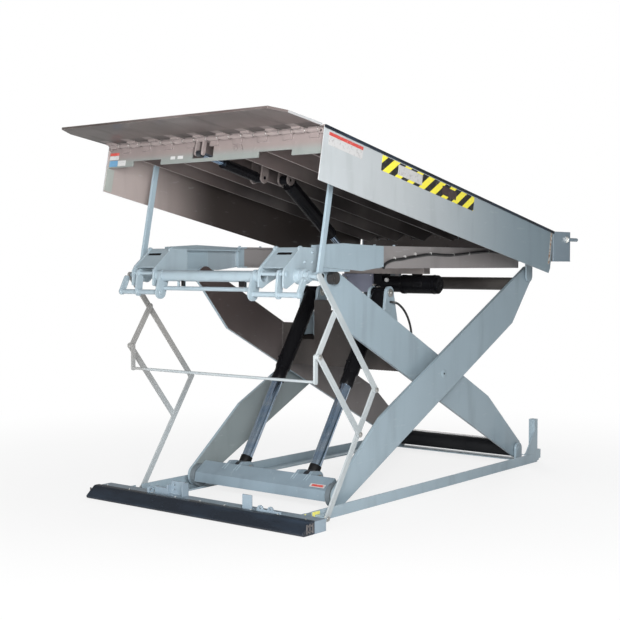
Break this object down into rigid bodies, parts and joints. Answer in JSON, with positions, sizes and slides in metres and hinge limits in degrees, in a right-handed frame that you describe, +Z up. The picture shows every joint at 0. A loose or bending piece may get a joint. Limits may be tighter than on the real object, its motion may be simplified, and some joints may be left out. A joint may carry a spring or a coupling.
{
  "type": "loading dock lift",
  "caption": "Scissor lift for a loading dock, carrying a tilting deck with a folding front lip, a front guard linkage, deck props and a rubber bumper across its base.",
  "frame": {"origin": "centre of the four anchor holes in the base rails, on the floor plane", "axes": "+X across the lift, to the right seen from the bumper; +Y from the bumper at the front to the dock side at the rear; +Z up"},
  "size_m": [1.857, 3.6929, 2.4114],
  "materials": {
    "grey_paint": "light blue-grey gloss enamel, sprayed",
    "dark_paint": "dark semi-matt enamel",
    "black_paint": "black gloss enamel",
    "chromed_rod": "polished hard chrome",
    "black_rubber": "smooth black rubber",
    "tank_plastic": "greyish violet, satin"
  },
  "bodies": {
    "base": {"bumper": "black_rubber", "front_sill": "grey_paint", "rails": "grey_paint", "rear_sill": "grey_paint", "rear_posts": "grey_paint", "guard_feet": "grey_paint"},
    "inner_legs": {"inner_arms": "grey_paint", "torsion_plate": "dark_paint", "cylinder_lugs": "grey_paint", "lower_cross_tube": "black_paint", "upper_rollers": "dark_paint", "leg_hose": "black_paint"},
    "outer_legs": {"outer_arms": "grey_paint", "lower_cross_beam": "grey_paint", "upper_cross_tube": "black_paint", "lower_rollers": "dark_paint"},
    "upper_frame": {"side_beams": "grey_paint", "cross_channels": "grey_paint", "dock_housing": "grey_paint", "front_brackets": "grey_paint", "front_tube": "grey_paint", "motor": "black_paint", "reservoir": "tank_plastic", "pump": "black_paint", "beam_loom": "black_paint"},
    "deck": {"deck_plate": "grey_paint", "deck_skirts": "grey_paint", "deck_header": "grey_paint", "deck_ribs": "dark_paint", "deck_knuckles": "grey_paint", "side_seals": "black_rubber"},
    "lip": {"lip_plate": "grey_paint", "lip_knuckles": "grey_paint"},
    "main_rods": {"main_rods": "chromed_rod"},
    "main_barrels": {"main_barrels": "black_paint"},
    "deck_barrel": {"deck_barrel": "black_paint"},
    "deck_rod": {"deck_rod": "chromed_rod"},
    "lip_barrel": {"lip_barrel": "black_paint"},
    "lip_rod": {"lip_rod": "chromed_rod"},
    "guard_lower": {"guard_lower_links": "grey_paint"},
    "guard_upper": {"guard_upper_links": "grey_paint"},
    "guard_short": {"guard_short_links": "grey_paint"},
    "guard_inner": {"guard_inner_links": "grey_paint"},
    "guard_bar": {"guard_bar": "grey_paint"},
    "props": {"deck_props": "grey_paint"}
  },
  "joints": [
    {"name": "lift", "type": "hinge", "parent": "base", "child": "inner_legs", "pos_m": [0, 1.56, 0.09], "axis": [1, 0, 0], "range_deg": [0, 24.75]},
    {"name": "scissor_pivot", "type": "hinge", "parent": "inner_legs", "child": "outer_legs", "pos_m": [0, 0.3372, 0.7748], "axis": [1, 0, 0], "range_deg": [-49.55, 0]},
    {"name": "frame_pivot", "type": "hinge", "parent": "outer_legs", "child": "upper_frame", "pos_m": [0, 1.56, 1.45961], "axis": [1, 0, 0], "range_deg": [0, 24.8]},
    {"name": "deck_tilt", "type": "hinge", "parent": "upper_frame", "child": "deck", "pos_m": [0, 1.45, 1.77], "axis": [1, 0, 0], "range_deg": [0, 10.83]},
    {"name": "lip_fold", "type": "hinge", "parent": "deck", "child": "lip", "pos_m": [0, -1.41898, 2.32308], "axis": [1, 0, 0], "range_deg": [0, 85]},
    {"name": "main_rod_pivot", "type": "hinge", "parent": "outer_legs", "child": "main_rods", "pos_m": [0, -0.759, 0.1535], "axis": [1, 0, 0], "range_deg": [0, 4]},
    {"name": "main_barrel_slide", "type": "slide", "parent": "main_rods", "child": "main_barrels", "axis": [0, 0.549, 0.8358], "range_m": [-0.57504, 0]},
    {"name": "deck_cylinder_pivot", "type": "hinge", "parent": "upper_frame", "child": "deck_rod", "pos_m": [0, 0.08, 1.582], "axis": [1, 0, 0], "range_deg": [0, 25.69]},
    {"name": "deck_barrel_slide", "type": "slide", "parent": "deck_rod", "child": "deck_barrel", "axis": [0, -0.8143, 0.5804], "range_m": [-0.14178, 0]},
    {"name": "lip_cylinder_pivot", "type": "hinge", "parent": "deck", "child": "lip_barrel", "pos_m": [0, -0.87495, 2.11199], "axis": [1, 0, 0], "range_deg": [-8.11, 0]},
    {"name": "lip_rod_slide", "type": "slide", "parent": "lip_barrel", "child": "lip_rod", "axis": [0, -0.9777, 0.2099], "range_m": [-0.09849, 0]},
    {"name": "guard_foot_pivot", "type": "hinge", "parent": "base", "child": "guard_lower", "pos_m": [0, -1.233, 0.026], "axis": [1, 0, 0], "range_deg": [-42.48, 0]},
    {"name": "guard_elbow_pivot", "type": "hinge", "parent": "guard_lower", "child": "guard_upper", "pos_m": [0, -0.74679, 0.75949], "axis": [1, 0, 0], "range_deg": [0, 90.1]},
    {"name": "guard_short_pivot", "type": "hinge", "parent": "guard_upper", "child": "guard_short", "pos_m": [0, -1.15191, 1.26139], "axis": [1, 0, 0], "range_deg": [-90.1, 0]},
    {"name": "guard_inner_pivot", "type": "hinge", "parent": "guard_lower", "child": "guard_inner", "pos_m": [0, -0.92028, 0.49777], "axis": [1, 0, 0], "range_deg": [0, 90.1]},
    {"name": "guard_bar_pivot", "type": "hinge", "parent": "guard_inner", "child": "guard_bar", "pos_m": [0, -1.32539, 0.99967], "axis": [1, 0, 0], "range_deg": [-47.67, 0]},
    {"name": "prop_pivot", "type": "hinge", "parent": "upper_frame", "child": "props", "pos_m": [0, -1.27, 1.4746], "axis": [1, 0, 0], "range_deg": [-88.86, 0]}
  ],
  "couplings": [
    {"joint": "scissor_pivot", "follows": "lift", "ratio": -2},
    {"joint": "frame_pivot", "follows": "lift", "ratio": 1},
    {"joint": "main_rod_pivot", "follows": "lift", "ratio": 0.1594},
    {"joint": "main_barrel_slide", "follows": "lift", "m_per_rad": -1.3289},
    {"joint": "deck_cylinder_pivot", "follows": "deck_tilt", "ratio": 2.3672},
    {"joint": "deck_barrel_slide", "follows": "deck_tilt", "m_per_rad": -0.74477},
    {"joint": "lip_cylinder_pivot", "follows": "lip_fold", "ratio": -0.094801},
    {"joint": "lip_rod_slide", "follows": "lip_fold", "m_per_rad": -0.065716},
    {"joint": "guard_foot_pivot", "follows": "lift", "ratio": -1.7143},
    {"joint": "guard_elbow_pivot", "follows": "lift", "ratio": 3.6382},
    {"joint": "guard_short_pivot", "follows": "lift", "ratio": -3.6382},
    {"joint": "guard_inner_pivot", "follows": "lift", "ratio": 3.6382},
    {"joint": "guard_bar_pivot", "follows": "lift", "ratio": -1.924},
    {"joint": "prop_pivot", "follows": "deck_tilt", "ratio": -8.2}
  ]
}
